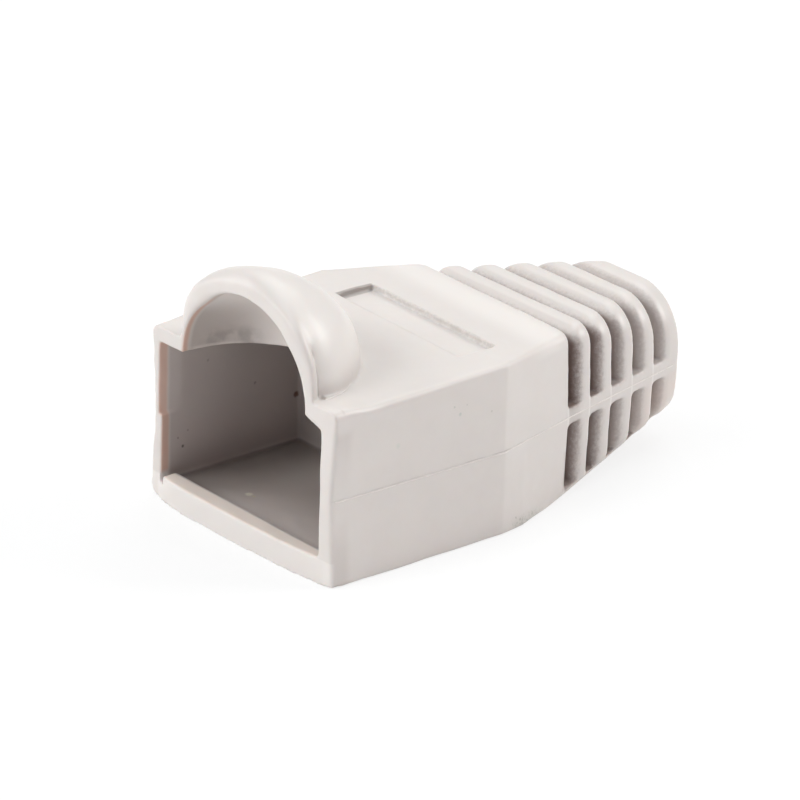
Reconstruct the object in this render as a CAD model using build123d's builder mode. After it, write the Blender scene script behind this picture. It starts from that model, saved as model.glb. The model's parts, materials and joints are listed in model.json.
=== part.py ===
"""Strain relief boot for a modular plug: one soft moulding, mouth towards -Y, cable towards +Y."""
import math
import os

from build123d import *

# Lengths along the boot, from the plane of the mouth
box_length = 10.6
shoulder_length = 5.25
underside_flat = 12.15
end_band = 0.73

# Outer skin, at the mouth, the crease, the first groove and the cable end
mouth_width = 13.88
mouth_waist = 13.3
crease_width = 14.12
neck_width = 11.66
end_width = 7.94
box_height = 9.0
crease_crown = 0.13
neck_fall = 0.11
end_fall = 0.86
neck_rise = 0.13
end_rise = 1.43
parting_height = 4.4
crease_upper_draft = 0.01
crease_lower_draft = -0.014
bend_lower_draft = -0.052
neck_upper_draft = 0.06
neck_lower_draft = 0.02
end_draft = 0.04

# Corner radii of the skin, above and below the parting line
mouth_top_radius = 0.4
crease_top_radius = 0.2
neck_top_radius = 0.62
end_top_radius = 2.85
mouth_low_radius = 0.12
mouth_left_radius = 0.6
neck_low_radius = 0.4
end_low_radius = 1.7

# Cavity for the plug
cavity_width = 11.95
cavity_depth = 8.7
floor_wall = 1.35
top_wall = 0.78
core_shift = 0.15
core_step = 0.26
core_step_length = 1.2
corner_web = 0.38
lip_bow = 0.38
lip_width = 12.6
lip_peak = -3.0
lip_slopes = (0.38, 0.13)
sill_depth = 0.7
sill_notch = 0.3
floor_relief = 0.5

# Hood over the plug's latch
hood_half_width = 5.1
hood_length = 5.85
hood_lift = 0.98
hood_rise = 4.55
hood_side_wall = 0.52
hood_back_wall = 0.75
void_height = 4.37
hoop_depth = 0.5
hoop_half_width = 4.98
hoop_shift = 0.17
hoop_rise = 3.45
hoop_swell = 0.3
hoop_tuck = 0.13
hoop_leg = 1.48
hood_waist_in = 0.55
hood_waist_down = 0.5
waist_length = 1.7
crown_length = 1.2

# Label recess in the top face
recess_width = 9.1
recess_length = 2.25
recess_depth = 0.38
recess_back = 11.63
recess_shift = 0.34
recess_round = 0.12

# Ribbed tail
groove_count = 5
rib_pitch = 1.755
groove_width = 1.35
groove_depth = 0.8
front_flank = 0.8
rear_flank = 0.15
root_sink = 0.15
rail_height = 0.95
first_pocket_floor = 0.5
last_pocket_floor = 0.2
pocket_round = 0.2

# Cable bore
bore_radius = 2.5
bore_height = 4.6
throat_radius = 3.3
throat_length = 2.2

# Places worked out from the sizes
neck_at = box_length + shoulder_length
tail_length = (groove_count - 1) * rib_pitch + groove_width + end_band
end_at = neck_at + tail_length
mouth_y = -(end_at - lip_bow) / 2
crease_height = box_height + crease_crown
neck_height = box_height - neck_fall
end_height = box_height - end_fall
ceiling = box_height - top_wall
hood_spring = ceiling + hood_lift
hoop_spring = ceiling + hoop_leg
left_wall = -cavity_width / 2 - core_shift
right_wall = cavity_width / 2 - core_shift
reach = crease_width


def station(distance):
    """Plane across the boot at a distance behind the mouth: local x is X and local y is Z."""
    return Plane.XZ.offset(-(mouth_y + distance))


def between(distance, marks, values):
    """Value at a distance along the boot, on straight lines between the marks."""
    for start, stop, low, high in zip(marks, marks[1:], values, values[1:]):
        if distance <= stop or stop == marks[-1]:
            return low + (high - low) * (distance - start) / (stop - start)


def skin_section(distance, inset=0.0):
    """Section of the outer skin, or of a core that lies inside it by the inset."""
    marks = [0.0, box_length, neck_at, end_at]
    half_widths = [width / 2 for width in (mouth_waist, crease_width, neck_width, end_width)]
    half = between(distance, marks, half_widths) - inset
    high = between(distance, marks, [box_height, crease_height, neck_height, end_height]) - inset
    low_marks = [0.0, underside_flat, neck_at, end_at]
    low = between(distance, low_marks, [0.0, 0.0, neck_rise, end_rise]) + inset
    flare = (mouth_width - mouth_waist) / box_height
    upper_lean = between(distance, marks, [-flare, crease_upper_draft, neck_upper_draft, end_draft])
    lean_marks = [0.0, box_length, underside_flat, neck_at, end_at]
    lower_leans = [-flare, crease_lower_draft, bend_lower_draft, neck_lower_draft, end_draft]
    lower_lean = between(distance, lean_marks, lower_leans)
    top_radii = [mouth_top_radius, crease_top_radius, neck_top_radius, end_top_radius]
    top_radius = between(distance, marks, top_radii)
    low_radii = [mouth_low_radius, mouth_low_radius, neck_low_radius, end_low_radius]
    right_radius = between(distance, low_marks, low_radii)
    left_radius = between(distance, low_marks, [mouth_left_radius] + low_radii[1:])
    half_high = half - upper_lean * (high - parting_height)
    half_low = half - lower_lean * (parting_height - low)
    with BuildSketch(station(distance)) as section:
        with BuildLine():
            Polyline(
                (half_low, low),
                (half, parting_height),
                (half_high, high),
                (-half_high, high),
                (-half, parting_height),
                (-half_low, low),
                close=True,
            )
        make_face()
        upper_room = 0.9 * (high - parting_height)
        lower_room = 0.9 * (parting_height - low)
        top_fillet = min(upper_room, max(top_radius - inset / 2, 0.05))
        fillet(section.vertices().group_by(Axis.Y)[-1], radius=top_fillet)
        low_corners = section.vertices().group_by(Axis.Y)[0].sort_by(Axis.X)
        fillet(low_corners[-1], radius=min(lower_room, max(right_radius - inset / 2, 0.05)))
        low_corners = section.vertices().group_by(Axis.Y)[0].sort_by(Axis.X)
        fillet(low_corners[0], radius=min(lower_room, max(left_radius - inset / 2, 0.05)))
    return section.sketch


def hoop_section(distance, rise, half_width):
    """Section of the hood's hoop: two upright legs under half an ellipse."""
    with BuildSketch(station(distance)) as section:
        with BuildLine():
            EllipticalCenterArc((hoop_shift, hoop_spring), half_width, rise, start_angle=0, arc_size=180)
            Polyline(
                (hoop_shift - half_width, hoop_spring),
                (hoop_shift - half_width, ceiling),
                (hoop_shift + half_width, ceiling),
                (hoop_shift + half_width, hoop_spring),
            )
        make_face()
    return section.sketch


def oval_section(distance, half_width, half_height, centre_height):
    """Oval across the hood, at a distance behind the mouth."""
    with BuildSketch(station(distance)) as section:
        with Locations((0, centre_height)):
            Ellipse(half_width, half_height)
    return section.sketch


# Outer skin: box, tapered shoulder and tail in one closed form
with BuildPart() as skin:
    loft([skin_section(at) for at in (0.0, box_length, underside_flat, neck_at, end_at)], ruled=True)

# Ribbed core: what is left inside the skin between the grooves
with BuildPart() as ribbed:
    core_ends = [skin_section(neck_at - groove_depth, groove_depth), skin_section(end_at, groove_depth)]
    loft(core_ends, ruled=True)
    for number in range(groove_count + 1):
        rib_start = neck_at + number * rib_pitch - (rib_pitch - groove_width)
        rib_stop = neck_at + number * rib_pitch if number < groove_count else end_at
        rib_sections = [skin_section(rib_start - front_flank, groove_depth + root_sink)]
        for angle in (25, 45, 65, 90):
            flank_at = rib_start - front_flank * math.cos(math.radians(angle))
            rib_sections.append(skin_section(flank_at, groove_depth * (1 - math.sin(math.radians(angle)))))
        rib_sections.append(skin_section(rib_stop))
        rib_sections.append(skin_section(rib_stop + rear_flank, groove_depth + root_sink))
        loft(rib_sections, ruled=True)

# Groove cutters: upper ones run over the top from rail to rail, lower ones are pockets in each side
with BuildPart() as grooves:
    with BuildSketch(Plane.YZ) as upper_profile:
        for number in range(groove_count):
            groove_y = mouth_y + neck_at + number * rib_pitch + groove_width / 2
            upper_low = parting_height + rail_height / 2
            with Locations((groove_y, (upper_low + 2 * box_height) / 2)):
                Rectangle(groove_width, 2 * box_height - upper_low)
    extrude(amount=reach, both=True)
    with BuildSketch(Plane.YZ) as pocket_profile:
        for number in range(groove_count):
            groove_at = neck_at + number * rib_pitch + groove_width / 2
            pocket_lows = [neck_rise + first_pocket_floor, end_rise + last_pocket_floor]
            pocket_low = between(groove_at, [neck_at, end_at], pocket_lows)
            pocket_high = parting_height - rail_height / 2
            with Locations((mouth_y + groove_at, (pocket_low + pocket_high) / 2)):
                Rectangle(groove_width, pocket_high - pocket_low)
        pocket_tops = pocket_profile.vertices().group_by(Axis.Z)[-1]
        fillet(pocket_tops, radius=pocket_round)
    extrude(amount=reach, both=True)
    add(ribbed.part, mode=Mode.SUBTRACT)

# Hood: a narrow hoop at the mouth, and behind it a bulb that ends in the top face
with BuildPart() as hood:
    hoop_front = hoop_section(0.0, hoop_rise, hoop_half_width)
    hoop_rear = hoop_section(hoop_depth, hoop_rise + hoop_swell, hoop_half_width - hoop_tuck)
    loft([hoop_front, hoop_rear], ruled=True)
    bulb_sections = []
    for angle in (3, 7, 12, 18, 26, 35, 45, 56, 66, 75, 82):
        along = hood_length * math.sin(math.radians(angle))
        waist = hood_waist_in * max(0.0, 1 - along / waist_length) ** 2
        drop = hood_waist_down * max(0.0, 1 - along / crown_length) ** 2
        half_width = hood_half_width * math.cos(math.radians(angle)) - waist
        half_height = hood_rise * math.cos(math.radians(angle)) - drop
        bulb_sections.append(oval_section(along, half_width, half_height, hood_spring))
    loft(bulb_sections)

# Space inside the hood
with BuildPart() as hood_void:
    void_sections = []
    for angle in (-20, -10, 0, 10, 20, 30, 40, 50, 60, 70, 79, 86):
        along = (hood_length - hood_back_wall) * math.sin(math.radians(angle))
        half_width = (hood_half_width - hood_side_wall) * math.cos(math.radians(angle))
        half_height = void_height * math.cos(math.radians(angle))
        void_sections.append(oval_section(along, half_width, half_height, ceiling))
    loft(void_sections)

# The boot: skin, lip and hood, less the plug's cavity, the cable bore, the recess and the grooves
with BuildPart() as boot:
    add(skin.part)
    add(hood.part)
    with BuildSketch(Plane.XY) as lip:
        with BuildLine():
            Spline(
                (-lip_width / 2, mouth_y),
                (lip_peak, mouth_y - lip_bow),
                (lip_width / 2, mouth_y),
                tangents=((1, -lip_slopes[0]), (1, 0), (1, lip_slopes[1])),
            )
            Polyline(
                (lip_width / 2, mouth_y),
                (lip_width / 2, mouth_y + lip_bow),
                (-lip_width / 2, mouth_y + lip_bow),
                (-lip_width / 2, mouth_y),
            )
        make_face()
    extrude(amount=floor_wall)
    with BuildSketch(station(-lip_bow)) as plug_space:
        with BuildLine():
            Polyline(
                (left_wall, floor_wall),
                (right_wall, floor_wall),
                (right_wall, ceiling - corner_web),
                (hood_half_width - hood_side_wall, ceiling),
                (left_wall, ceiling),
                close=True,
            )
        make_face()
    extrude(amount=-(lip_bow + cavity_depth), mode=Mode.SUBTRACT)
    with BuildSketch(station(sill_depth)) as floor_space:
        with Locations((-core_shift, floor_wall - floor_relief / 2)):
            Rectangle(cavity_width, floor_relief)
    extrude(amount=sill_depth - cavity_depth, mode=Mode.SUBTRACT)
    with BuildSketch(station(sill_depth)) as notch_space:
        with Locations((left_wall + sill_notch / 2, floor_wall - floor_relief / 2)):
            Rectangle(sill_notch, floor_relief)
    extrude(amount=sill_depth + lip_bow, mode=Mode.SUBTRACT)
    with BuildSketch(Plane.XY.offset(parting_height)) as wall_step:
        with BuildLine():
            Polyline(
                (left_wall, mouth_y),
                (left_wall - core_step, mouth_y),
                (left_wall, mouth_y + core_step_length),
                close=True,
            )
        make_face()
    extrude(amount=ceiling - parting_height, mode=Mode.SUBTRACT)
    add(hood_void.part, mode=Mode.SUBTRACT)
    with BuildSketch(station(end_at)) as bore:
        with Locations((0, bore_height)):
            Circle(bore_radius)
    extrude(amount=end_at - cavity_depth, mode=Mode.SUBTRACT)
    with BuildSketch(station(cavity_depth)) as throat:
        with Locations((0, bore_height)):
            Circle(throat_radius)
    with BuildSketch(station(cavity_depth + throat_length)) as throat_end:
        with Locations((0, bore_height)):
            Circle(bore_radius)
    loft(mode=Mode.SUBTRACT)
    with BuildSketch(Plane.XY.offset(crease_height - recess_depth)) as recess:
        with Locations((recess_shift, mouth_y + recess_back - recess_length / 2)):
            RectangleRounded(recess_width, recess_length, recess_round)
    extrude(amount=2 * recess_depth, mode=Mode.SUBTRACT)
    add(grooves.part, mode=Mode.SUBTRACT)

boot.part.label = "boot"
os.makedirs("parts", exist_ok=True)
export_step(boot.part, "parts/boot.step")
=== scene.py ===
"""Strain relief boot for a modular plug: one soft PVC moulding on a white sweep."""
import json
import math

import bpy
import bmesh
import numpy as np
from mathutils import Matrix, Vector
from mathutils.bvhtree import BVHTree


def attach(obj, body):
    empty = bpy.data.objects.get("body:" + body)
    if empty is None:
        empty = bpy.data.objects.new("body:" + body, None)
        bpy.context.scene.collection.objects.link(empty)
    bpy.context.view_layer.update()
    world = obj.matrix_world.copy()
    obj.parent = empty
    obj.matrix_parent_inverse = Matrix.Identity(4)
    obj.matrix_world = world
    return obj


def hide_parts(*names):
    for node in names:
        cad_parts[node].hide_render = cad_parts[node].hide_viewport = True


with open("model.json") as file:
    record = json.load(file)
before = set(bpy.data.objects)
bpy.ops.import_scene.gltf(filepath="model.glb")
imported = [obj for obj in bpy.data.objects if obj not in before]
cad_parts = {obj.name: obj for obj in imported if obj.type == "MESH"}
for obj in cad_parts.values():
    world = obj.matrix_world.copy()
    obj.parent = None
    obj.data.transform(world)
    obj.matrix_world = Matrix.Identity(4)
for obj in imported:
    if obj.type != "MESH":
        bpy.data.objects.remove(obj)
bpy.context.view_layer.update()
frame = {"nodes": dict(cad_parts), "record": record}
scene = bpy.context.scene
scene.view_settings.view_transform = "Standard"

# The camera
# A long lens stands a quarter of a metre off, to the right of the mouth and a little above the boot.
# Its turn and place are fitted to the boot's edges as the photograph shows them. The mouth's place along
# the boot is that of the mount for the plug.
mm = 0.001
plug_mount = next(mount for mount in frame["record"]["mounts"] if mount["name"] == "plug_cavity")
mouth_y = plug_mount["pos_m"][1]
aim_behind = 14 * mm
aim_height = 6 * mm
camera_aim = Vector((0.0, mouth_y + aim_behind, aim_height))
camera_yaw = math.radians(48.692)
camera_pitch = math.radians(23.394)
camera_roll = math.radians(1.971)
camera_distance = 246.174 * mm
camera_across = -3.096 * mm
camera_along = -2.051 * mm
towards = Vector((
    math.sin(camera_yaw) * math.cos(camera_pitch),
    -math.cos(camera_yaw) * math.cos(camera_pitch),
    math.sin(camera_pitch),
))
level_right = Vector((math.cos(camera_yaw), math.sin(camera_yaw), 0.0))
level_up = towards.cross(level_right)
camera_right = level_right * math.cos(camera_roll) + level_up * math.sin(camera_roll)
camera_up = level_up * math.cos(camera_roll) - level_right * math.sin(camera_roll)
camera_data = bpy.data.cameras.new("camera")
camera_data.sensor_width = 36.0
camera_data.lens = 225.0
camera_data.clip_start = 0.01
camera = bpy.data.objects.new("camera", camera_data)
camera_turn = Matrix((camera_right, camera_up, towards)).transposed().to_4x4()
camera_place = camera_aim + towards * camera_distance
camera_place = camera_place + camera_right * camera_across + camera_up * camera_along
camera.matrix_world = Matrix.Translation(camera_place) @ camera_turn
scene.collection.objects.link(camera)
scene.camera = camera

# The boot's skin
# The whole boot is one injection moulding in soft PVC. The moulded solid is copied, its edges are
# rounded as the soft material leaves them, and the marks of the tool are worked into it.
# Its sizes are in millimetres, and its mesh is scaled to metres when its form is done.
skin_voxel = 0.08
skin_triangles = 190000
weld_distance = 1e-6
parting_height = 4.4
neck_at = 15.85
arch_half_width = 4.58
arch_rise = 4.37
arch_spring = 8.22


def plain_mesh(name, mesh):
    """A new object at the origin with this mesh."""
    piece = bpy.data.objects.new(name, mesh)
    scene.collection.objects.link(piece)
    return piece


def settled(piece):
    """Applies an object's modifiers: its evaluated mesh becomes its own, and the modifiers go."""
    bpy.context.view_layer.update()
    evaluated = piece.evaluated_get(bpy.context.evaluated_depsgraph_get())
    mesh = bpy.data.meshes.new_from_object(evaluated)
    piece.modifiers.clear()
    old = piece.data
    piece.data = mesh
    bpy.data.meshes.remove(old)
    return piece


def points_of(mesh):
    """The vertices of a mesh as an array."""
    flat = np.empty(len(mesh.vertices) * 3, dtype=np.float32)
    mesh.vertices.foreach_get("co", flat)
    return flat.reshape(-1, 3).astype(float)


def normals_of(mesh):
    """The vertex normals of a mesh as an array."""
    flat = np.empty(len(mesh.vertices) * 3, dtype=np.float32)
    mesh.vertex_normals.foreach_get("vector", flat)
    return flat.reshape(-1, 3).astype(float)


def rise(values, low, high):
    """0 up to low, 1 from high, and a smooth rise between them."""
    share = np.clip((values - low) / (high - low), 0.0, 1.0)
    return share * share * (3 - 2 * share)


def ripple(points, length, seed):
    """A smooth unevenness between about -1 and 1, with waves of about this length."""
    waves = 9
    source = np.random.default_rng(seed)
    total = np.zeros(len(points))
    for _ in range(waves):
        heading = source.normal(size=3)
        heading *= 2 * math.pi / (length * source.uniform(0.7, 1.5) * np.linalg.norm(heading))
        total += np.sin(points @ heading + source.uniform(0, 2 * math.pi))
    return total / (waves / 2)


def move_points(mesh, points):
    """Writes the vertices of a mesh back from an array."""
    mesh.vertices.foreach_set("co", points.astype(np.float32).ravel())
    mesh.update()


def smoothed(mesh, points, share, rounds):
    """The points drawn towards their neighbours for some rounds, each by its own share."""
    ends = np.empty(len(mesh.edges) * 2, dtype=np.int32)
    mesh.edges.foreach_get("vertices", ends)
    ends = ends.reshape(-1, 2)
    ends = ends[(share[ends] > 0).any(axis=1)]
    first = np.concatenate((ends[:, 0], ends[:, 1]))
    second = np.concatenate((ends[:, 1], ends[:, 0]))
    near = np.maximum(np.bincount(first, minlength=len(points)), 1)
    points = points.copy()
    for _ in range(rounds):
        middle = np.stack([np.bincount(first, points[second, k], len(points)) for k in range(3)], axis=1)
        points += (middle / near[:, None] - points) * (0.5 * share)[:, None] * (near > 1)[:, None]
    return points


solid = bmesh.new()
solid.from_mesh(frame["nodes"]["boot"].data)
bmesh.ops.remove_doubles(solid, verts=solid.verts, dist=weld_distance)
bmesh.ops.scale(solid, vec=(1 / mm, 1 / mm, 1 / mm), verts=solid.verts)
skin_mesh = bpy.data.meshes.new("boot_skin")
solid.to_mesh(skin_mesh)
solid.free()
boot_skin = plain_mesh("boot_skin", skin_mesh)
remesh = boot_skin.modifiers.new("even_skin", "REMESH")
remesh.mode = "VOXEL"
remesh.voxel_size = skin_voxel
remesh.use_smooth_shade = True
soften = boot_skin.modifiers.new("soft_edges", "SMOOTH")
soften.factor = 0.5
soften.iterations = 5
settled(boot_skin)

# The hood's hoop runs softly into the dome: its outer face is rounded over, and its inner edge is kept.
# The rounding reaches further back at the crown.
hoop_rounds = 50
hoop_foot = 9.12
points = points_of(boot_skin.data)
behind = points[:, 1] - mouth_y / mm
arch_radius = np.hypot(points[:, 0] / arch_half_width, (points[:, 2] - arch_spring) / arch_rise)
crown = rise(points[:, 2], 11.2, 12.4)
on_hoop = rise(arch_radius, 1.03, 1.07) * rise(points[:, 2], hoop_foot, 9.5)
on_hoop *= 1 - rise(behind, 0.28 + 1.6 * crown, 0.62 + 2.2 * crown)
points = smoothed(boot_skin.data, points, on_hoop, hoop_rounds)

# The corner of the mouth's right side is worn round, most of all at its foot.
corner_rounds = 24
side_share = 0.55
foot_share = 0.45
at_corner = rise(points[:, 0], 6.3, 6.8) * (1 - rise(behind, 0.35, 0.8)) * (1 - rise(points[:, 2], 8.0, 8.6))
at_corner *= side_share + foot_share * (1 - rise(points[:, 2], 0.6, 1.2))
points = smoothed(boot_skin.data, points, at_corner, corner_rounds)
move_points(boot_skin.data, points)

# The moulding has warped a little: the top leans to the right, the ribs sit low, the first ones most, the
# hood's left shoulder is full, and the taper's underside sags.
half_width = 7.0
top_sink = 0.035
top_lean = 0.165
rib_sink = 0.05
first_rib_sink = 0.06
shoulder_swell = 0.20
shoulder_turn = 147.0
shoulder_spread = 21.0
dome_centre = 9.4
taper_sag = 0.10
facing = normals_of(boot_skin.data)
lean = -top_sink - top_lean * points[:, 0] / half_width
lean *= rise(behind, 0.6, 2.6) * (1 - rise(behind, 15.0, 17.0)) * (1 - rise(points[:, 2], 9.3, 10.2))
on_ribs = rise(behind, 15.4, 16.2)
lean -= on_ribs * (rib_sink + first_rib_sink * (1 - rise(behind, 19.0, 21.0)))
turn_on_hood = np.degrees(np.arctan2(points[:, 2] - dome_centre, points[:, 0]))
shoulder = np.exp(-(((turn_on_hood - shoulder_turn) / shoulder_spread) ** 2)) * rise(points[:, 2], 9.3, 9.9)
shoulder *= 1 - rise(behind, 1.5, 3.5)
points += facing * (shoulder_swell * shoulder)[:, None]
sag = -taper_sag * rise(behind, 12.6, 14.5) * (1 - rise(points[:, 2], 1.5, 3.6))
points[:, 2] += lean * rise(points[:, 2], 5.5, 8.8) + sag
move_points(boot_skin.data, points)

# The marks of the tool: the lower half stands a little proud at the parting line, the rim of the mouth
# is trimmed unevenly, and every face is a little uneven.
parting_wander = 0.03
ledge_step = 0.022
ledge_fade = 0.9
long_wave = 0.014
short_wave = 0.006
rim_wave = 0.016
facing = normals_of(boot_skin.data)
above_parting = points[:, 2] - parting_height - parting_wander * ripple(points, 2.5, 3)
outer_side = rise(np.abs(facing[:, 0]), 0.75, 0.9) * rise(facing[:, 0] * np.sign(points[:, 0]), 0.0, 0.5)
outer_side *= rise(behind, -0.1, 0.4) * (1 - rise(behind, 11.5, 12.5))
ledge = rise(-above_parting, -0.04, 0.04) * np.exp(-np.abs(above_parting) / ledge_fade)
push = ledge_step * outer_side * ledge
push += long_wave * ripple(points, 3.2, 5) + short_wave * ripple(points, 1.1, 8)
push += rim_wave * ripple(points, 1.3, 11) * (1 - rise(behind, 0.35, 0.9))
move_points(boot_skin.data, points + facing * push[:, None])

thin = boot_skin.modifiers.new("lighter_mesh", "DECIMATE")
thin.ratio = min(1.0, skin_triangles / (2 * len(boot_skin.data.polygons)))
settled(boot_skin)

# How deep each point of the ribbed tail lies under the smooth outline of the tail, in millimetres. The
# outline takes in the end of the taper before the neck.
outline_lead = 0.9
points = points_of(boot_skin.data)
behind = points[:, 1] - mouth_y / mm
on_tail = np.nonzero(behind > neck_at - outline_lead)[0]
outline = bmesh.new()
for index in on_tail:
    outline.verts.new(points[index])
hull = bmesh.ops.convex_hull(outline, input=outline.verts)
bmesh.ops.delete(outline, geom=hull["geom_interior"], context="VERTS")
outline_tree = BVHTree.FromBMesh(outline)
depth = np.zeros(len(points))
for index in on_tail:
    depth[index] = outline_tree.find_nearest(points[index])[3]
outline.free()
depth *= rise(behind, neck_at - 0.3, neck_at)
groove_depth = boot_skin.data.attributes.new("groove_depth", "FLOAT", "POINT")
groove_depth.data.foreach_set("value", depth.astype(np.float32))
boot_skin.data.transform(Matrix.Scale(mm, 4))
print("skin", len(boot_skin.data.polygons), "faces")


class Signal:
    """One output in a material, with operators that add its Math nodes."""

    def __init__(self, paint, socket):
        self.paint = paint
        self.socket = socket

    def __add__(self, other):
        return self.paint.maths("ADD", self, other)

    __radd__ = __add__

    def __sub__(self, other):
        return self.paint.maths("SUBTRACT", self, other)

    def __rsub__(self, other):
        return self.paint.maths("SUBTRACT", other, self)

    def __mul__(self, other):
        return self.paint.maths("MULTIPLY", self, other)

    __rmul__ = __mul__


class Paint:
    """A material under construction."""

    def __init__(self, name):
        self.material = bpy.data.materials.new(name)
        self.material.use_nodes = True
        self.tree = self.material.node_tree
        self.tree.nodes.clear()

    def node(self, kind, settings, sockets, output=0):
        """Adds any node: its settings first, then the values or links of its sockets."""
        made = self.tree.nodes.new(kind)
        for key, value in settings.items():
            setattr(made, key, value)
        for key, value in sockets.items():
            socket = made.inputs[key]
            if isinstance(value, Signal):
                self.tree.links.new(value.socket, socket)
            else:
                socket.default_value = value
        return Signal(self, made.outputs[output]) if len(made.outputs) else made

    def maths(self, operation, *values):
        """Adds a Math node."""
        return self.node("ShaderNodeMath", {"operation": operation}, dict(enumerate(values)))

    def blend(self, share, low, high):
        """Mixes two colours. Each is a Signal or its red, green and blue."""
        low, high = (tone if isinstance(tone, Signal) else (*tone, 1.0) for tone in (low, high))
        settings = {"data_type": "RGBA", "blend_type": "MIX"}
        return self.node("ShaderNodeMix", settings, {0: share, 6: low, 7: high}, output=2)

    def ramp(self, value, low, high):
        """A smooth rise from 0 at low to 1 at high."""
        settings = {"interpolation_type": "SMOOTHSTEP"}
        sockets = {"Value": value, "From Min": low, "From Max": high, "To Min": 0.0, "To Max": 1.0}
        return self.node("ShaderNodeMapRange", settings, sockets)

    def window(self, value, low, high, edge):
        """1 between low and high and 0 outside them, with soft edges."""
        return self.ramp(value, low - edge, low + edge) * (1 - self.ramp(value, high - edge, high + edge))

    def noise(self, place, scale, detail, roughness=0.5, output=0):
        """A fine unevenness about 0.5, or three of them from output 1."""
        sockets = {"Vector": place, "Scale": scale, "Detail": detail, "Roughness": roughness}
        return self.node("ShaderNodeTexNoise", {}, sockets, output)

    def axis(self, vector, number):
        """One of the three numbers of a vector."""
        return self.node("ShaderNodeSeparateXYZ", {}, {"Vector": vector}, output=number)


pvc = Paint("soft_pvc")
deeper_grey = (0.657, 0.611, 0.586)
paler_grey = (0.674, 0.629, 0.604)
place_on = pvc.node("ShaderNodeTexCoord", {}, {}, output=3)
across, along, height = (pvc.axis(place_on, number) for number in range(3))
across = across * (1 / mm)
behind_mouth = (along - mouth_y) * (1 / mm)
height = height * (1 / mm)
mottle = pvc.noise(place_on, 420.0, 4.0, 0.65)
body = pvc.blend(pvc.ramp(mottle, 0.3, 0.7), deeper_grey, paler_grey)

# The walls of the plug's space are painted darker, partly their own tone and partly painted shade.
# The shade is darkest deep inside, and a painted shadow of the left wall lies on the left of the floor.
cavity_left = -6.5
cavity_right = 6.0
ceiling_height = 8.2
wall_front_shaded = (0.492, 0.440, 0.421)
wall_deep_shaded = (0.440, 0.392, 0.374)
wall_shadow = (0.19, 0.163, 0.153)
inside = pvc.window(across, cavity_left, cavity_right, 0.12) * pvc.window(height, 0.65, ceiling_height, 0.3)
plug_space_shaded = inside * pvc.window(behind_mouth, 0.52, 9.6, 0.14)
wall_tone_and_shade = pvc.blend(pvc.ramp(behind_mouth, 1.0, 6.0), wall_front_shaded, wall_deep_shaded)
floor_shadow_share = 0.08 + 0.10 * pvc.ramp(behind_mouth, 2.5, 4.5) + 0.80 * (1 - pvc.ramp(across, -5.6, -1.0))
on_floor = 1 - pvc.ramp(height, 0.88, 1.05)
wall_foot = pvc.window(height, 1.0, 2.0, 0.9)
wall_tone_and_shade = pvc.blend(floor_shadow_share * on_floor + 0.16 * wall_foot, wall_tone_and_shade, wall_shadow)
body = pvc.blend(plug_space_shaded, body, wall_tone_and_shade)

# The top of the sill at the mouth is painted pale and warm: a painted highlight where it catches the light.
sill_highlight = (0.79, 0.70, 0.635)
sill = pvc.window(height, 1.30, 1.45, 0.04) * pvc.window(behind_mouth, -0.5, 0.5, 0.1)
sill = sill * pvc.window(across, -6.0, 5.8, 0.1)
body = pvc.blend(sill * 0.85, body, sill_highlight)

# Painted light pales the lip's front and the taper's top; painted shade greys the right side by the mouth.
lit_face_paint = (0.765, 0.722, 0.695)
side_shade_grey = (0.42, 0.365, 0.35)
lip_front_lit = (1 - pvc.ramp(height, 1.25, 1.35)) * (1 - pvc.ramp(behind_mouth, 0.10, 0.25))
taper_top_lit = pvc.window(behind_mouth, 13.6, 15.6, 0.8) * pvc.ramp(height, 8.0, 8.5)
body = pvc.blend(pvc.maths("MAXIMUM", lip_front_lit, taper_top_lit) * 0.7, body, lit_face_paint)
side_front_shade = pvc.ramp(across, 6.7, 6.9) * pvc.window(behind_mouth, 0.12, 1.0, 0.3)
side_front_shade = side_front_shade * (1 - pvc.ramp(height, 7.6, 8.2))
body = pvc.blend(side_front_shade * 0.3, body, side_shade_grey)

# A warm glow is painted on the low edge of the tail's end: painted light that comes through the thin ribs.
end_glow_grey = (0.80, 0.62, 0.54)
end_glow = pvc.ramp(behind_mouth, 20.5, 23.5) * (1 - pvc.ramp(height, 3.0, 4.6))
body = pvc.blend(end_glow * 0.22, body, end_glow_grey)

# The hood's dome is painted paler outside, most of all on its right: painted light where it catches more
# light.
dome_lit_grey = (0.738, 0.694, 0.667)
dome = pvc.ramp(height, 9.1, 10.0) * pvc.ramp(behind_mouth, 0.35, 0.9)
dome = dome * (1 - pvc.ramp(behind_mouth, 5.4, 6.4))
body = pvc.blend(dome * (0.35 + 0.65 * pvc.ramp(across, -1.0, 4.0)), body, dome_lit_grey)

# Inside the hood, painted light makes the skin pale and painted shade darkens it to the left; it is darker
# in patches at the foot, over a paler edge of the ceiling. The hood's space is an oval in all three
# directions.
hood_reach = 5.15
hood_inside_lit = (0.83, 0.775, 0.745)
hood_dark = (0.33, 0.285, 0.26)
patch_dark = (0.24, 0.21, 0.20)
edge_pale = (0.60, 0.55, 0.52)
leg_radius = pvc.maths("POWER", across * (1 / arch_half_width), 2.0)
leg_radius = leg_radius + pvc.maths("POWER", (height - arch_spring) * (1 / arch_rise), 2.0)
leg_radius = leg_radius + pvc.maths("POWER", behind_mouth * (1 / hood_reach), 2.0)
in_hood = (1 - pvc.ramp(leg_radius, 1.04, 1.10)) * pvc.ramp(height, 8.15, 8.3)
body = pvc.blend(in_hood * pvc.ramp(behind_mouth, 0.3, 0.6), body, hood_inside_lit)
hood_shade = in_hood * (1 - pvc.ramp(across, -4.2, -2.0)) * pvc.ramp(behind_mouth, 0.25, 0.6)
body = pvc.blend(hood_shade * 0.7, body, hood_dark)
patch_noise = pvc.noise(place_on, 1500.0, 3.0)
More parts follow.
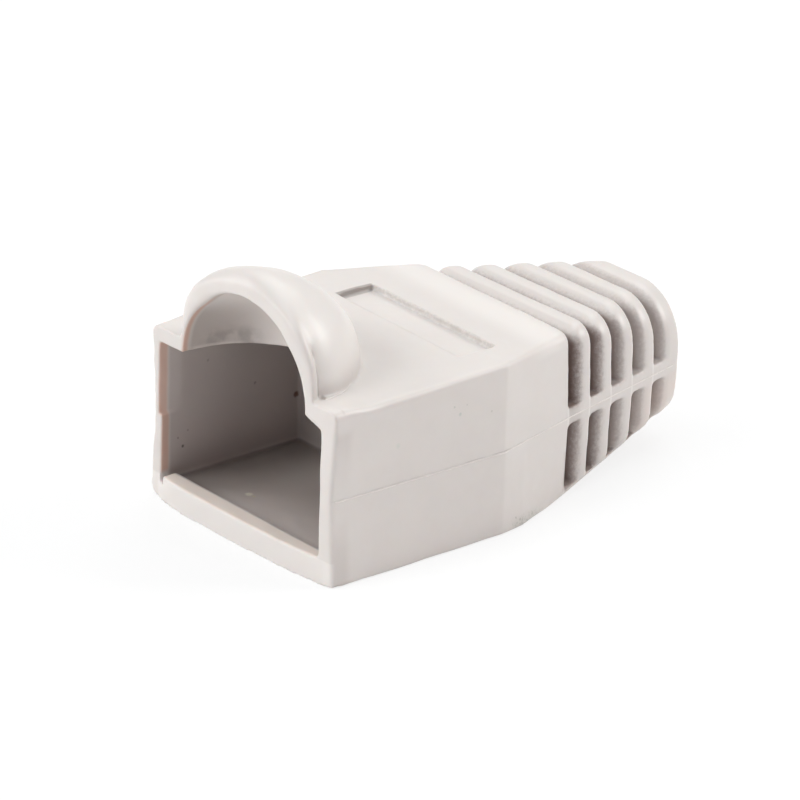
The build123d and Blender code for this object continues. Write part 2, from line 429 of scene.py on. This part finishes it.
hood_foot = in_hood * (1 - pvc.ramp(height, 8.8, 9.5)) * pvc.window(behind_mouth, 1.2, 3.6, 0.5)
hood_foot = hood_foot * (1 - pvc.ramp(across, -3.6, -2.4)) * pvc.ramp(patch_noise, 0.34, 0.66)
body = pvc.blend(hood_foot * 0.5, body, patch_dark)
ceiling_edge = in_hood * pvc.window(height, 8.2, 8.42, 0.05) * pvc.window(behind_mouth, 0.5, 3.0, 0.3)
body = pvc.blend(ceiling_edge * (1 - pvc.ramp(across, -3.6, -3.0)) * 0.7, body, edge_pale)

# A warm brown is painted where the wall runs out thin, beside the mouth and in the hood's left leg.
# It is painted light and shade, for light that comes through the thin soft plastic in half-shade.
thin_glow_brown = (0.62, 0.41, 0.33)
thin_wall = pvc.window(across, cavity_left, -5.9, 0.06) * pvc.window(height, 1.4, ceiling_height, 0.15)
thin_wall = thin_wall * (1 - pvc.ramp(behind_mouth, 0.36, 0.56))
thin_leg = in_hood * (1 - pvc.ramp(across, -3.4, -1.6)) * (1 - pvc.ramp(behind_mouth, 0.2, 0.42))
warm = pvc.maths("MAXIMUM", thin_wall, thin_leg) * pvc.ramp(behind_mouth, 0.0, 0.08)
body = pvc.blend(warm * 0.85, body, thin_glow_brown)

# The roots of the tail's grooves are painted a warm brown, partly the plastic's tone and partly painted
# shade, deepest behind each rib's rear edge and weaker over the top and towards the cable end.
rib_pitch = 1.755
groove_brown = (0.205, 0.152, 0.135)
depth_in_groove = pvc.node("ShaderNodeAttribute", {"attribute_name": "groove_depth"}, {}, output=2)
past_rib = pvc.maths("MODULO", behind_mouth - neck_at, rib_pitch)
speckle = pvc.noise(place_on, 5200.0, 3.0, 0.7)
on_top = pvc.ramp(height, 7.7, 8.7)
shade_place = past_rib + 0.55 * on_top + (speckle - 0.5) * 0.6
groove_shade = pvc.ramp(depth_in_groove, 0.01, 0.10) * (1 - pvc.ramp(shade_place, 0.62, 1.36))
groove_shade = groove_shade * (1 - 0.6 * on_top) * (1.0 - 0.5 * pvc.ramp(behind_mouth, 16.8, 22.5))
groove_shade = groove_shade * (0.84 + 0.16 * pvc.ramp(height, 3.6, 4.8))
body = pvc.blend(groove_shade, body, groove_brown)

# The sharp rear edges of the box and of the ribs are painted pale: a painted highlight where they catch the
# light.
edge_highlight = (0.80, 0.765, 0.735)
edge_light = pvc.ramp(past_rib, 1.60, 1.70) + pvc.window(behind_mouth, neck_at - 0.1, neck_at + 0.05, 0.04)
edge_light = edge_light * (1 - pvc.ramp(depth_in_groove, 0.04, 0.12)) * (1 - pvc.ramp(behind_mouth, 23.6, 24.0))
body = pvc.blend(edge_light * 0.6, body, edge_highlight)

# The steps of the label recess are painted with shade at the left, and are grey-green and speckled at the
# back.
step_shade_dark = (0.25, 0.215, 0.20)
step_green = (0.38, 0.365, 0.335)
near_top = pvc.ramp(height, 8.4, 8.6)
recess_left = pvc.window(across, -4.34, -4.10, 0.05) * pvc.window(behind_mouth, 9.3, 11.6, 0.08)
recess_back = pvc.window(behind_mouth, 11.50, 11.72, 0.05) * pvc.window(across, -4.3, 4.85, 0.08)
recess_back = recess_back * pvc.ramp(speckle, 0.32, 0.6)
body = pvc.blend(recess_left * near_top * 0.7, body, step_shade_dark)
body = pvc.blend(recess_back * near_top * 0.32, body, step_green)

# A fine line of painted shade runs along the top of the parting step, broken here and there.
parting_shade_dark = (0.30, 0.25, 0.235)
line_break = pvc.noise(place_on, 700.0, 2.0)
parting_shade_line = pvc.window(height, parting_height + 0.035, parting_height + 0.065, 0.02)
parting_shade_line = parting_shade_line * pvc.ramp(pvc.maths("ABSOLUTE", across), 6.55, 6.62)
parting_shade_line = parting_shade_line * pvc.window(behind_mouth, 0.15, 12.0, 0.2) * pvc.ramp(line_break, 0.35, 0.6)
body = pvc.blend(parting_shade_line * 0.5, body, parting_shade_dark)

# A dark line of painted shade lies in the fold behind the hoop's right leg.
fold_shade_grey = (0.33, 0.27, 0.25)
fold = pvc.window(behind_mouth, 0.50, 0.64, 0.07) * pvc.ramp(across, 3.9, 4.4)
fold = fold * pvc.window(height, 8.95, 11.2, 0.3)
body = pvc.blend(fold * pvc.ramp(line_break, 0.3, 0.55) * 0.8, body, fold_shade_grey)

# The low edge of the right side before the taper is tinted greenish grey and finely speckled.
low_edge_green = (0.45, 0.44, 0.40)
low_edge_speckle = (0.28, 0.27, 0.24)
low_edge_grain = pvc.noise(place_on, 6500.0, 3.0, 0.7)
low_edge = (1 - pvc.ramp(height, 0.25, 0.8)) * pvc.ramp(across, 5.6, 6.2)
low_edge = low_edge * pvc.window(behind_mouth, 11.4, 13.4, 0.5)
body = pvc.blend(low_edge * 0.3, body, low_edge_green)
body = pvc.blend(low_edge * pvc.ramp(low_edge_grain, 0.5, 0.62) * 0.4, body, low_edge_speckle)

# Small marks that a used mould and handling leave, and last a spot of painted shade. Each has a place,
# measured across, behind the mouth and up, a radius, a colour and a strength, and an uneven edge.
mark_wander = 0.12
wander = pvc.noise(place_on, 5200.0, 2.0, output=1)
wander = pvc.node("ShaderNodeVectorMath", {"operation": "SUBTRACT"}, {0: wander, 1: (0.5, 0.5, 0.5)})
wander = pvc.node("ShaderNodeVectorMath", {"operation": "SCALE"}, {0: wander, "Scale": mark_wander})
mark_place = pvc.node("ShaderNodeCombineXYZ", {}, {0: across, 1: behind_mouth, 2: height})
mark_place = pvc.node("ShaderNodeVectorMath", {"operation": "ADD"}, {0: mark_place, 1: wander})
for place, radius, colour, strength in (
    ((6.93, 3.14, 8.88), 0.10, (0.36, 0.36, 0.33), 0.5),
    ((6.95, 7.30, 7.55), 0.09, (0.42, 0.43, 0.40), 0.6),
    ((6.95, 7.70, 7.08), 0.13, (0.48, 0.50, 0.47), 0.7),
    ((6.95, 8.12, 7.49), 0.08, (0.44, 0.42, 0.39), 0.5),
    ((7.00, 9.68, 6.73), 0.08, (0.40, 0.38, 0.35), 0.5),
    ((6.80, 3.92, 6.42), 0.22, (0.56, 0.57, 0.53), 0.5),
    ((7.00, 11.89, 0.44), 0.12, (0.36, 0.33, 0.30), 0.6),
    ((7.00, 11.55, 0.64), 0.07, (0.36, 0.33, 0.30), 0.6),
    ((7.00, 12.03, 0.24), 0.10, (0.36, 0.33, 0.30), 0.6),
    ((-6.12, 1.36, 2.43), 0.12, (0.07, 0.06, 0.05), 0.8),
    ((-6.12, 1.04, 2.94), 0.09, (0.16, 0.13, 0.12), 0.6),
    ((-6.12, 1.65, 3.21), 0.07, (0.16, 0.13, 0.12), 0.5),
    ((-6.12, 5.82, 4.64), 0.11, (0.22, 0.19, 0.18), 0.7),
    ((-6.12, 2.83, 6.62), 0.10, (0.24, 0.21, 0.20), 0.5),
    ((-6.12, 8.47, 3.37), 0.22, (0.13, 0.06, 0.04), 0.9),
    ((-2.45, 2.58, 0.85), 0.27, (0.62, 0.59, 0.49), 0.8),
    ((-2.12, 2.60, 0.85), 0.13, (0.50, 0.44, 0.24), 0.6),
    ((-0.65, 18.5, 8.70), 0.14, (0.62, 0.56, 0.42), 0.6),
    # The last mark is painted shade at the foot of the fold behind the hoop's right leg.
    ((5.05, 0.78, 9.03), 0.22, (0.33, 0.28, 0.25), 0.7),
):
    distance = pvc.node("ShaderNodeVectorMath", {"operation": "DISTANCE"}, {0: mark_place, 1: place}, 1)
    mark = 1 - pvc.ramp(distance, radius * 0.35, radius)
    body = pvc.blend(mark * strength, body, colour)

# The face has a satin gloss, a fine grain, and lets a little light in under its surface.
grain_height = 0.02 * mm
light_depth = 0.3 * mm
grain = pvc.noise(place_on, 9000.0, 2.0)
bump = pvc.node("ShaderNodeBump", {}, {"Strength": 0.08, "Distance": grain_height, "Height": grain})
coat = pvc.node("ShaderNodeBsdfPrincipled", {}, {
    "Base Color": body,
    "Roughness": 0.38,
    "IOR": 1.5,
    "Subsurface Weight": 0.15,
    "Subsurface Radius": (1.0, 0.45, 0.25),
    "Subsurface Scale": light_depth,
    "Normal": bump,
})
pvc.node("ShaderNodeOutputMaterial", {}, {"Surface": coat})
boot_skin.data.materials.clear()
boot_skin.data.materials.append(pvc.material)
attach(boot_skin, "root")
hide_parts("boot")

# The flash
# Where the halves of the mould met, the plastic crept out in a hair-thin bead: along both sides at the
# parting line, and round the right foot of the hood's dome. Each bead lies on the skin.
bead_radius = 0.032 * mm
bead_unevenness = 3.4
thinnest_share = 0.15
drop_reach = 4 * mm
flash_grey = (0.77, 0.715, 0.69, 1.0)
flash_pvc = Paint("flash_pvc")
flash_coat = flash_pvc.node("ShaderNodeBsdfPrincipled", {}, {
    "Base Color": flash_grey,
    "Roughness": 0.35,
    "IOR": 1.5,
})
flash_pvc.node("ShaderNodeOutputMaterial", {}, {"Surface": flash_coat})


def bead_tree():
    """Geometry Nodes that drop a line of points onto the skin and give it an uneven round bead."""
    tree = bpy.data.node_groups.new("flash_bead", "GeometryNodeTree")
    for label, kind in (
        ("Line", "NodeSocketGeometry"), ("Skin", "NodeSocketObject"), ("Drop", "NodeSocketVector"),
        ("Radius", "NodeSocketFloat"), ("Unevenness", "NodeSocketFloat"), ("Finish", "NodeSocketMaterial"),
    ):
        tree.interface.new_socket(label, in_out="INPUT", socket_type=kind)
    tree.interface.new_socket("Bead", in_out="OUTPUT", socket_type="NodeSocketGeometry")

    def add(kind, links, **settings):
        made = tree.nodes.new(kind)
        for key, value in settings.items():
            setattr(made, key, value)
        for key, value in links.items():
            if isinstance(value, bpy.types.NodeSocket):
                tree.links.new(value, made.inputs[key])
            else:
                made.inputs[key].default_value = value
        return made

    given = add("NodeGroupInput", {}).outputs
    skin = add("GeometryNodeObjectInfo", {"Object": given["Skin"]}, transform_space="ORIGINAL")
    dropped = add("GeometryNodeRaycast", {
        "Target Geometry": skin.outputs["Geometry"],
        "Ray Direction": given["Drop"], "Ray Length": drop_reach})
    kept = add("GeometryNodeSeparateGeometry", {
        "Geometry": given["Line"], "Selection": dropped.outputs["Is Hit"]})
    placed = add("GeometryNodeSetPosition", {
        "Geometry": kept.outputs["Selection"], "Position": dropped.outputs["Hit Position"]})
    line = add("GeometryNodeMeshToCurve", {"Mesh": placed.outputs["Geometry"]})
    wave = add("ShaderNodeTexNoise", {"Scale": 1900.0, "Detail": 2.0})
    swing = add("ShaderNodeMath", {0: wave.outputs[0], 1: 0.5}, operation="SUBTRACT")
    scaled = add("ShaderNodeMath", {0: swing.outputs[0], 1: given["Unevenness"]}, operation="MULTIPLY")
    share = add("ShaderNodeMath", {0: scaled.outputs[0], 1: 1.0}, operation="ADD")
    floored = add("ShaderNodeMath", {0: share.outputs[0], 1: thinnest_share}, operation="MAXIMUM")
    radius = add("ShaderNodeMath", {0: floored.outputs[0], 1: given["Radius"]}, operation="MULTIPLY")
    ring = add("GeometryNodeCurvePrimitiveCircle", {"Resolution": 6, "Radius": 1.0})
    bead = add("GeometryNodeCurveToMesh", {
        "Curve": line.outputs["Curve"], "Profile Curve": ring.outputs["Curve"],
        "Scale": radius.outputs[0], "Fill Caps": True})
    rounded = add("GeometryNodeSetShadeSmooth", {"Geometry": bead.outputs["Mesh"]})
    whole = add("GeometryNodeRealizeInstances", {"Geometry": rounded.outputs["Geometry"]})
    finished = add("GeometryNodeSetMaterial", {
        "Geometry": whole.outputs["Geometry"], "Material": given["Finish"]})
    add("NodeGroupOutput", {"Bead": finished.outputs["Geometry"]})
    return tree


flash_tree = bead_tree()
flash_sockets = flash_tree.interface.items_tree
flash_inputs = {item.name: item.identifier for item in flash_sockets if item.in_out == "INPUT"}
beside_skin = 7.9
above_skin = 9.9
step_length = 0.15
side_line = [(beside_skin, step * step_length, parting_height - 0.02) for step in range(2, 164)]
foot_line = [(5.22, 0.75), (5.20, 1.0), (5.14, 1.3), (5.03, 1.65), (4.88, 2.05), (4.68, 2.5), (4.45, 2.9)]
for name, line, drop, thickness in (
    ("parting_bead_right", side_line, (-1.0, 0.0, 0.0), 1.0),
    ("parting_bead_left", [(-x, y, z) for x, y, z in side_line], (1.0, 0.0, 0.0), 1.0),
    ("dome_foot_bead", [(x, y, above_skin) for x, y in foot_line], (0.0, 0.0, -1.0), 1.2),
):
    line_mesh = bpy.data.meshes.new(name)
    line_points = [(x * mm, y * mm + mouth_y, z * mm) for x, y, z in line]
    line_mesh.from_pydata(line_points, [(k, k + 1) for k in range(len(line) - 1)], [])
    flash_bead = plain_mesh(name, line_mesh)
    dress = flash_bead.modifiers.new("flash", "NODES")
    dress.node_group = flash_tree
    dress[flash_inputs["Skin"]] = boot_skin
    dress[flash_inputs["Drop"]] = drop
    dress[flash_inputs["Radius"]] = bead_radius * thickness
    dress[flash_inputs["Unevenness"]] = bead_unevenness
    dress[flash_inputs["Finish"]] = flash_pvc.material
    settled(flash_bead)
    print(name, len(flash_bead.data.polygons), "faces")
    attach(flash_bead, "root")

# The white sweep
# A sheet of matt white card lies under the boot and rises behind it. It isn't part of the object. The
# camera sees it nearly white, with the boot's soft shadow.
card = bmesh.new()
card_half = 1.2
card_depth = 0.9
card_height = 1.2
rise_radius = 0.35
rise_steps = 16
profile = [(-card_half, 0.0), (card_depth, 0.0)]
for step in range(1, rise_steps + 1):
    angle = math.radians(90 * step / rise_steps)
    profile.append((card_depth + rise_radius * math.sin(angle), rise_radius * (1 - math.cos(angle))))
profile.append((card_depth + rise_radius, card_height))
rows = []
sweep_turn = Matrix.Rotation(camera_yaw, 3, "Z")
for back, up in profile:
    ends = [sweep_turn @ Vector((side * card_half, back, up)) for side in (-1, 1)]
    rows.append([card.verts.new(end) for end in ends])
for low_row, high_row in zip(rows, rows[1:]):
    card.faces.new((low_row[0], low_row[1], high_row[1], high_row[0]))
card_mesh = bpy.data.meshes.new("white_sweep")
card.to_mesh(card_mesh)
card.free()
white_sweep = plain_mesh("white_sweep", card_mesh)
seen_glow = 0.75
card_white = (0.93, 0.93, 0.93, 1.0)
pure_white = (1.0, 1.0, 1.0, 1.0)
sheet = Paint("white_card")
card_face = sheet.node("ShaderNodeBsdfDiffuse", {}, {"Color": card_white})
card_glow = sheet.node("ShaderNodeEmission", {}, {"Color": pure_white, "Strength": 1.0})
seen = sheet.node("ShaderNodeLightPath", {}, {}, output=0)
card_mix = sheet.node("ShaderNodeMixShader", {}, {0: seen * seen_glow, 1: card_face, 2: card_glow})
sheet.node("ShaderNodeOutputMaterial", {}, {"Surface": card_mix})
white_sweep.data.materials.append(sheet.material)

# The lamps
# Large soft boxes stand over, before and behind the boot, in a pale room. Their powers are set so that the
# pale plastic renders about as its colours are written.
lamp_distance = 0.7
room_tint = (1.0, 0.88, 0.91, 1.0)
room_strength = 0.28
world = bpy.data.worlds.new("pale_room")
scene.world = world
world.use_nodes = True
room = world.node_tree.nodes["Background"]
room.inputs["Color"].default_value = room_tint
room.inputs["Strength"].default_value = room_strength


def soft_box(name, azimuth, elevation, size, power, colour):
    """A square lamp that looks at the boot. Azimuth 0 stands at the mouth's side, 90 to the right."""
    lamp = bpy.data.lights.new(name, "AREA")
    lamp.shape = "SQUARE"
    lamp.size = size
    lamp.energy = power
    lamp.color = colour
    stand = bpy.data.objects.new(name, lamp)
    out = Vector((
        math.sin(math.radians(azimuth)) * math.cos(math.radians(elevation)),
        -math.cos(math.radians(azimuth)) * math.cos(math.radians(elevation)),
        math.sin(math.radians(elevation)),
    ))
    facing_boot = out.to_track_quat("Z", "Y").to_matrix().to_4x4()
    stand.matrix_world = Matrix.Translation(out * lamp_distance) @ facing_boot
    scene.collection.objects.link(stand)


soft_box("over", 0, 86, 0.45, 1.75, (0.90, 0.985, 1.0))
soft_box("front", -12, 35, 0.3, 2.1, (0.96, 1.0, 0.98))
soft_box("front_left", -60, 25, 0.3, 1.2, (0.98, 1.0, 1.0))
soft_box("back_right", 150, 33, 0.32, 2.6, (0.98, 1.0, 0.97))
soft_box("back_left", 215, 50, 0.4, 0.9, (0.95, 1.0, 0.97))
